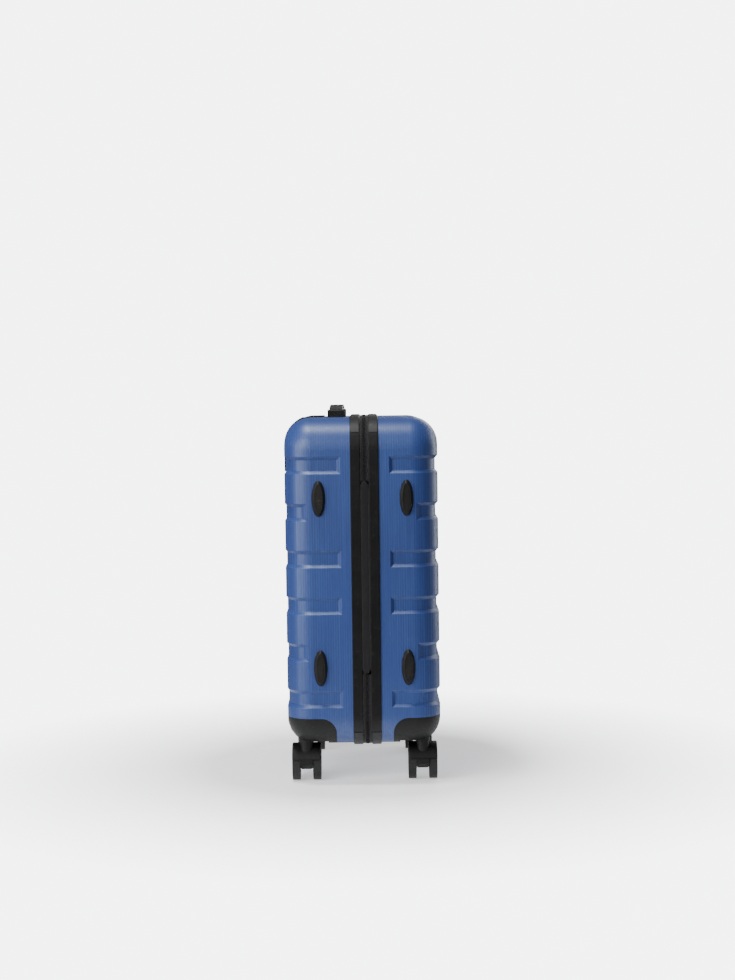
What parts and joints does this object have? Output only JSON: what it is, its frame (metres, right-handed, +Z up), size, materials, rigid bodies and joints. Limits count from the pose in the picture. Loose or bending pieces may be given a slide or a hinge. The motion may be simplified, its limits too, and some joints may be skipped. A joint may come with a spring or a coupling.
{
  "type": "hard shell suitcase",
  "caption": "Upright cabin suitcase: two ribbed hard shells, zipped, hinged on a narrow side, with telescopic trolley, carry handles, lock and swivelling twin-wheel casters.",
  "frame": {"origin": "on the floor under the middle of the case", "axes": "+Z up, +X out of the lid's face (away from the trolley), +Y towards the side that unzips; the lid's hinge side is at -Y"},
  "size_m": [0.232, 0.368, 0.569],
  "materials": {
    "shell": "satin, fine vertical grain",
    "black_plastic": "satin",
    "foot_plastic": "fine grain",
    "wheel": "moulded polyurethane",
    "tube": "anodised",
    "steel": "zinc plated",
    "zip_metal": "black nickel",
    "tape": "woven",
    "lining": "woven polyester",
    "webbing": "elastic webbing",
    "dial": "satin",
    "button": "satin"
  },
  "bodies": {
    "case": {"back_shell": "shell", "back_frame": "black_plastic", "back_frame_caps": "black_plastic", "back_zip_tape": "tape", "hinge_tape": "tape", "back_side_feet": "foot_plastic", "back_lining": "lining", "packing_straps": "webbing", "strap_buckle": "black_plastic", "back_hinge_guard": "black_plastic", "back_lock_guard": "black_plastic", "top_handle_brackets": "black_plastic", "top_handle_screws": "steel", "side_handle_brackets": "black_plastic", "side_handle_screws": "steel", "trolley_bezel": "black_plastic", "trolley_base": "black_plastic", "trolley_outer_tubes": "tube"},
    "lid": {"front_shell": "shell", "front_frame": "black_plastic", "front_frame_caps": "black_plastic", "front_zip_tape": "tape", "front_side_feet": "foot_plastic", "front_lining": "lining", "lid_pocket": "lining", "front_hinge_guard": "black_plastic", "front_lock_guard": "black_plastic", "lock_case": "black_plastic"},
    "trolley_middle": {"trolley_middle_tubes": "tube"},
    "trolley_top": {"trolley_inner_tubes": "tube", "trolley_glides": "black_plastic", "trolley_grip": "black_plastic"},
    "trolley_release": {"trolley_button": "button", "trolley_push_rods": "steel"},
    "top_grip": {"top_handle_grip": "black_plastic"},
    "side_grip": {"side_handle_grip": "black_plastic"},
    "upper_slider": {"upper_zip_slider": "zip_metal"},
    "upper_pull": {"upper_zip_pull": "zip_metal"},
    "lower_slider": {"lower_zip_slider": "zip_metal"},
    "lower_pull": {"lower_zip_pull": "zip_metal"},
    "dial_1": {"lock_dial_1": "dial"},
    "dial_2": {"lock_dial_2": "dial"},
    "dial_3": {"lock_dial_3": "dial"},
    "lock_push": {"lock_button": "button"},
    "back_hinge_swivel": {"back_hinge_fork": "black_plastic", "back_hinge_pins": "steel"},
    "back_hinge_inner": {"back_hinge_inner_wheel": "wheel"},
    "back_hinge_outer": {"back_hinge_outer_wheel": "wheel"},
    "back_lock_swivel": {"back_lock_fork": "black_plastic", "back_lock_pins": "steel"},
    "back_lock_inner": {"back_lock_inner_wheel": "wheel"},
    "back_lock_outer": {"back_lock_outer_wheel": "wheel"},
    "front_hinge_swivel": {"front_hinge_fork": "black_plastic", "front_hinge_pins": "steel"},
    "front_hinge_inner": {"front_hinge_inner_wheel": "wheel"},
    "front_hinge_outer": {"front_hinge_outer_wheel": "wheel"},
    "front_lock_swivel": {"front_lock_fork": "black_plastic", "front_lock_pins": "steel"},
    "front_lock_inner": {"front_lock_inner_wheel": "wheel"},
    "front_lock_outer": {"front_lock_outer_wheel": "wheel"}
  },
  "joints": [
    {"name": "lid_hinge", "type": "hinge", "parent": "case", "child": "lid", "pos_m": [0.005, -0.1815, 0.304], "axis": [0, 0, -1], "range_deg": [0, 180]},
    {"name": "trolley_stage_1", "type": "slide", "parent": "case", "child": "trolley_middle", "axis": [0, 0, 1], "range_m": [0, 0.225]},
    {"name": "trolley_stage_2", "type": "slide", "parent": "trolley_middle", "child": "trolley_top", "axis": [0, 0, 1], "range_m": [0, 0.225]},
    {"name": "trolley_button_press", "type": "slide", "parent": "trolley_top", "child": "trolley_release", "axis": [0, 0, -1], "range_m": [0, 0.003], "stiffness_N_per_m": 600, "springref_m": -0.004},
    {"name": "top_handle_lift", "type": "slide", "parent": "case", "child": "top_grip", "axis": [0, 0, 1], "range_m": [0, 0.014], "stiffness_N_per_m": 300, "springref_m": -0.004},
    {"name": "side_handle_lift", "type": "slide", "parent": "case", "child": "side_grip", "axis": [0, 1, 0], "range_m": [0, 0.011], "stiffness_N_per_m": 300, "springref_m": -0.004},
    {"name": "upper_slider_run", "type": "slide", "parent": "case", "child": "upper_slider", "axis": [0, 0, 1], "range_m": [0, 0.15]},
    {"name": "lower_slider_run", "type": "slide", "parent": "case", "child": "lower_slider", "axis": [0, 0, -1], "range_m": [0, 0.15]},
    {"name": "upper_pull_swing", "type": "hinge", "parent": "upper_slider", "child": "upper_pull", "pos_m": [0.005, 0.183, 0.327], "axis": [1, 0, 0], "range_deg": [0, 150]},
    {"name": "lower_pull_swing", "type": "hinge", "parent": "lower_slider", "child": "lower_pull", "pos_m": [0.005, 0.183, 0.282], "axis": [1, 0, 0], "range_deg": [0, 150]},
    {"name": "lock_button_press", "type": "slide", "parent": "lid", "child": "lock_push", "axis": [0, -1, 0], "range_m": [0, 0.002], "stiffness_N_per_m": 400, "springref_m": -0.002},
    {"name": "dial_1_turn", "type": "hinge", "parent": "lid", "child": "dial_1", "pos_m": [0.039, 0.1745, 0.305], "axis": [1, 0, 0], "continuous": true},
    {"name": "dial_2_turn", "type": "hinge", "parent": "lid", "child": "dial_2", "pos_m": [0.047, 0.1745, 0.305], "axis": [1, 0, 0], "continuous": true},
    {"name": "dial_3_turn", "type": "hinge", "parent": "lid", "child": "dial_3", "pos_m": [0.055, 0.1745, 0.305], "axis": [1, 0, 0], "continuous": true},
    {"name": "back_hinge_swivel_turn", "type": "hinge", "parent": "case", "child": "back_hinge_swivel", "pos_m": [-0.088, -0.132, 0.06], "axis": [0, 0, 1], "continuous": true},
    {"name": "back_hinge_inner_roll", "type": "hinge", "parent": "back_hinge_swivel", "child": "back_hinge_inner", "pos_m": [-0.088, -0.118, 0.0265], "axis": [1, 0, 0], "continuous": true},
    {"name": "back_hinge_outer_roll", "type": "hinge", "parent": "back_hinge_swivel", "child": "back_hinge_outer", "pos_m": [-0.088, -0.118, 0.0265], "axis": [1, 0, 0], "continuous": true},
    {"name": "back_lock_swivel_turn", "type": "hinge", "parent": "case", "child": "back_lock_swivel", "pos_m": [-0.088, 0.132, 0.06], "axis": [0, 0, 1], "continuous": true},
    {"name": "back_lock_inner_roll", "type": "hinge", "parent": "back_lock_swivel", "child": "back_lock_inner", "pos_m": [-0.088, 0.118, 0.0265], "axis": [1, 0, 0], "continuous": true},
    {"name": "back_lock_outer_roll", "type": "hinge", "parent": "back_lock_swivel", "child": "back_lock_outer", "pos_m": [-0.088, 0.118, 0.0265], "axis": [1, 0, 0], "continuous": true},
    {"name": "front_hinge_swivel_turn", "type": "hinge", "parent": "lid", "child": "front_hinge_swivel", "pos_m": [0.088, -0.132, 0.06], "axis": [0, 0, 1], "continuous": true},
    {"name": "front_hinge_inner_roll", "type": "hinge", "parent": "front_hinge_swivel", "child": "front_hinge_inner", "pos_m": [0.088, -0.118, 0.0265], "axis": [1, 0, 0], "continuous": true},
    {"name": "front_hinge_outer_roll", "type": "hinge", "parent": "front_hinge_swivel", "child": "front_hinge_outer", "pos_m": [0.088, -0.118, 0.0265], "axis": [1, 0, 0], "continuous": true},
    {"name": "front_lock_swivel_turn", "type": "hinge", "parent": "lid", "child": "front_lock_swivel", "pos_m": [0.088, 0.132, 0.06], "axis": [0, 0, 1], "continuous": true},
    {"name": "front_lock_inner_roll", "type": "hinge", "parent": "front_lock_swivel", "child": "front_lock_inner", "pos_m": [0.088, 0.118, 0.0265], "axis": [1, 0, 0], "continuous": true},
    {"name": "front_lock_outer_roll", "type": "hinge", "parent": "front_lock_swivel", "child": "front_lock_outer", "pos_m": [0.088, 0.118, 0.0265], "axis": [1, 0, 0], "continuous": true}
  ]
}
